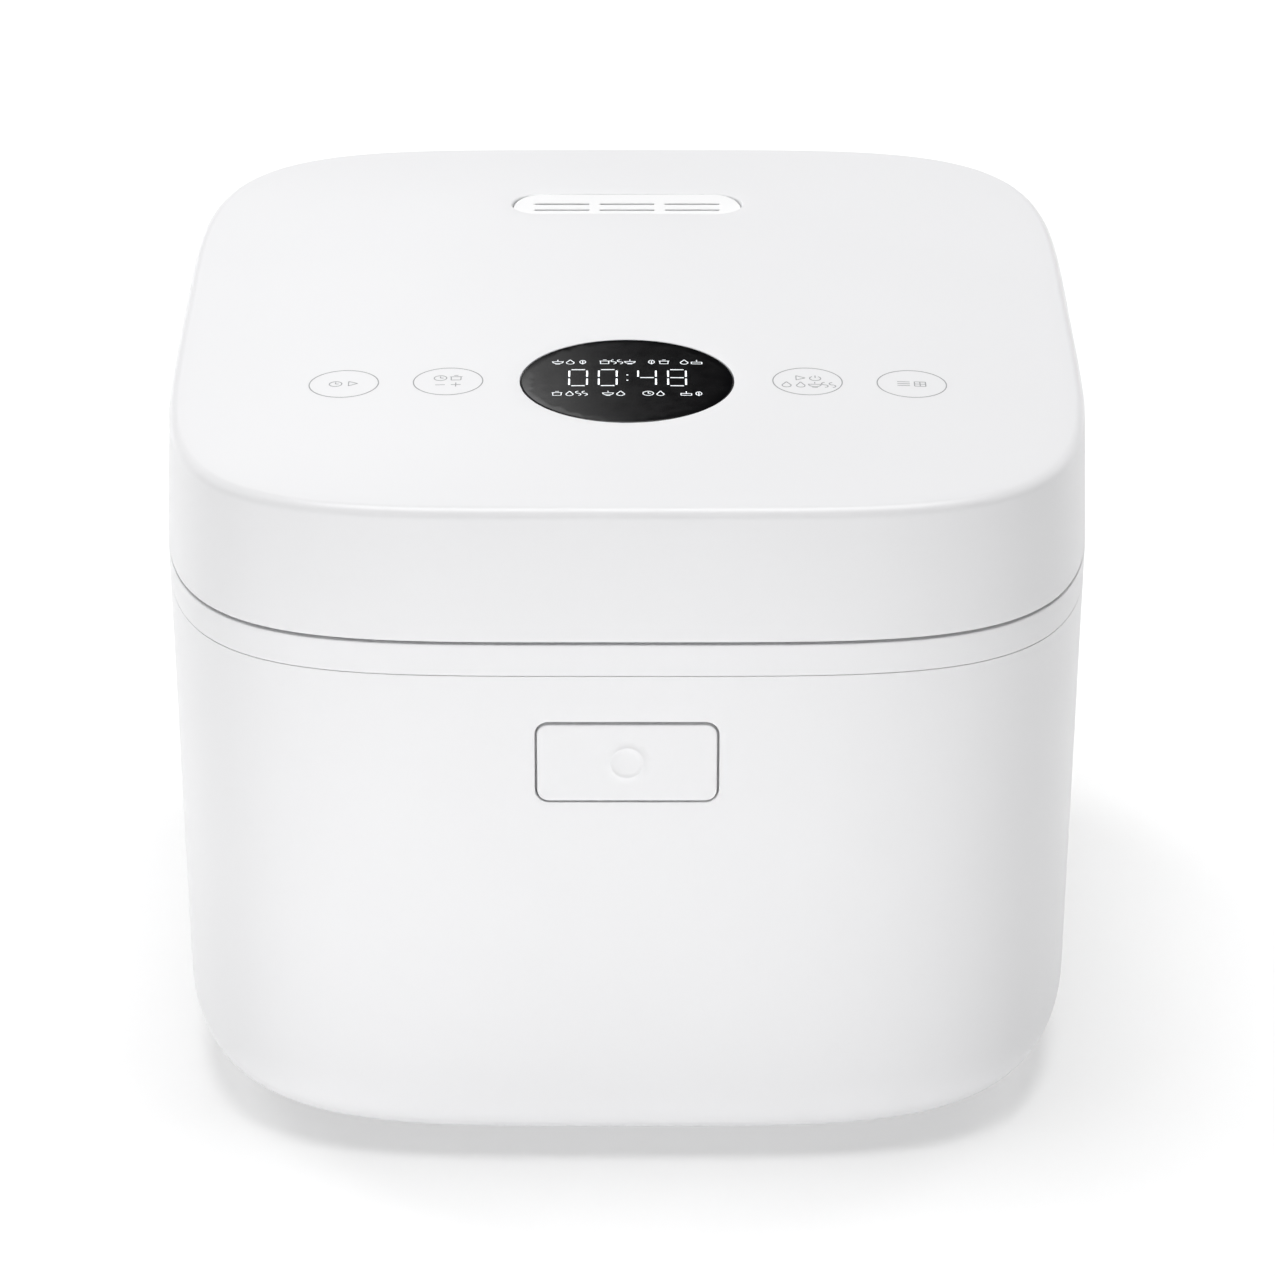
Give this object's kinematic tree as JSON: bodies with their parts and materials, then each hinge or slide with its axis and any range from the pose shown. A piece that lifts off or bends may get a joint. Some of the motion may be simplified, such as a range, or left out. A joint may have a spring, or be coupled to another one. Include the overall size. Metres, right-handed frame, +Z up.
{
  "type": "rice cooker",
  "caption": "Countertop rice cooker with a rounded square body, hinged lid, lift-out steam valve, push-button latch and non-stick pot.",
  "frame": {"origin": "middle of the box's footprint, on the surface that the feet stand on", "axes": "+Z up, -Y to the front with the release button, +X to the right of someone facing the front"},
  "size_m": [0.26, 0.298, 0.2044],
  "materials": {
    "white_gloss": "white moulded plastic, semi-gloss",
    "white_satin": "white moulded plastic, satin",
    "grey_satin": "grey acetal, satin",
    "black_window": "tinted black window, polished",
    "black_plastic": "black moulded plastic",
    "non_stick": "dark non-stick coating on drawn aluminium",
    "cast_metal": "cast aluminium, as cast",
    "sheet_metal": "pressed sheet metal, brushed",
    "spring_steel": "bright drawn steel",
    "pin_brass": "brass blade",
    "silicone": "translucent grey-white silicone",
    "foot_rubber": "grey rubber, matt",
    "board_green": "glass-fibre circuit board, green mask",
    "relay_blue": "blue component case",
    "amber_tape": "amber tape over windings"
  },
  "bodies": {
    "body": {"outer_shell": "white_gloss", "body_collar": "white_gloss", "inner_housing": "sheet_metal", "inner_pot": "non_stick", "heating_plate": "cast_metal", "heating_element": "sheet_metal", "heater_post_1": "cast_metal", "heater_post_2": "cast_metal", "heater_post_3": "cast_metal", "sensor_strap": "sheet_metal", "sensor_spring": "spring_steel", "thermal_fuse": "white_satin", "power_board": "board_green", "relay": "relay_blue", "transformer": "amber_tape", "capacitor": "black_plastic", "terminal_block": "white_satin", "base_cover": "white_satin", "inlet_socket": "black_plastic", "inlet_pin_live": "pin_brass", "inlet_pin_neutral": "pin_brass", "inlet_pin_earth": "pin_brass", "hinge_housing": "white_gloss", "hinge_pin": "spring_steel", "hinge_spring": "spring_steel", "latch_bracket": "white_satin", "latch_pin": "spring_steel", "latch_spring": "spring_steel", "base_screw_1": "spring_steel", "foot_1": "foot_rubber", "base_screw_2": "spring_steel", "foot_2": "foot_rubber", "base_screw_3": "spring_steel", "foot_3": "foot_rubber", "base_screw_4": "spring_steel", "foot_4": "foot_rubber"},
    "lid": {"lid_shell": "white_gloss", "display_window": "black_window", "control_board": "board_green", "display_block": "black_plastic", "touch_contact_1": "spring_steel", "touch_contact_2": "spring_steel", "touch_contact_3": "spring_steel", "touch_contact_4": "spring_steel", "lid_liner": "white_satin", "inner_lid": "sheet_metal", "lid_gasket": "silicone", "lid_probe": "sheet_metal", "steam_well": "white_satin", "steam_sleeve": "silicone", "hinge_bracket": "sheet_metal", "bracket_screw_1": "spring_steel", "bracket_screw_2": "spring_steel"},
    "steam_valve": {"steam_cap": "white_gloss", "steam_box": "white_satin"},
    "float_ball": {"steam_ball": "silicone"},
    "thermostat": {"sensor_cap": "cast_metal"},
    "button": {"release_button": "white_gloss"},
    "latch": {"latch_hook": "grey_satin"}
  },
  "joints": [
    {"name": "lid_hinge", "type": "hinge", "parent": "body", "child": "lid", "pos_m": [0, 0.1433, 0.166], "axis": [-1, 0, 0], "range_deg": [0, 95], "deforming": ["hinge_spring"]},
    {"name": "button_press", "type": "slide", "parent": "body", "child": "button", "axis": [0, 1, 0], "range_m": [0, 0.004], "stiffness_N_per_m": 700, "springref_m": -0.002},
    {"name": "latch_swing", "type": "hinge", "parent": "body", "child": "latch", "pos_m": [0, -0.1332, 0.147], "axis": [1, 0, 0], "range_deg": [0, 12], "deforming": ["latch_spring"]},
    {"name": "sensor_press", "type": "slide", "parent": "body", "child": "thermostat", "axis": [0, 0, -1], "range_m": [0, 0.003], "stiffness_N_per_m": 200, "springref_m": -0.003, "deforming": ["sensor_spring"]},
    {"name": "steam_valve_lift", "type": "slide", "parent": "lid", "child": "steam_valve", "axis": [0, 0, 1], "range_m": [0, 0.04]},
    {"name": "float_lift", "type": "slide", "parent": "steam_valve", "child": "float_ball", "axis": [0, 0, 1], "range_m": [0, 0.002]}
  ],
  "couplings": [
    {"joint": "latch_swing", "follows": "button_press", "rad_per_m": 51}
  ]
}
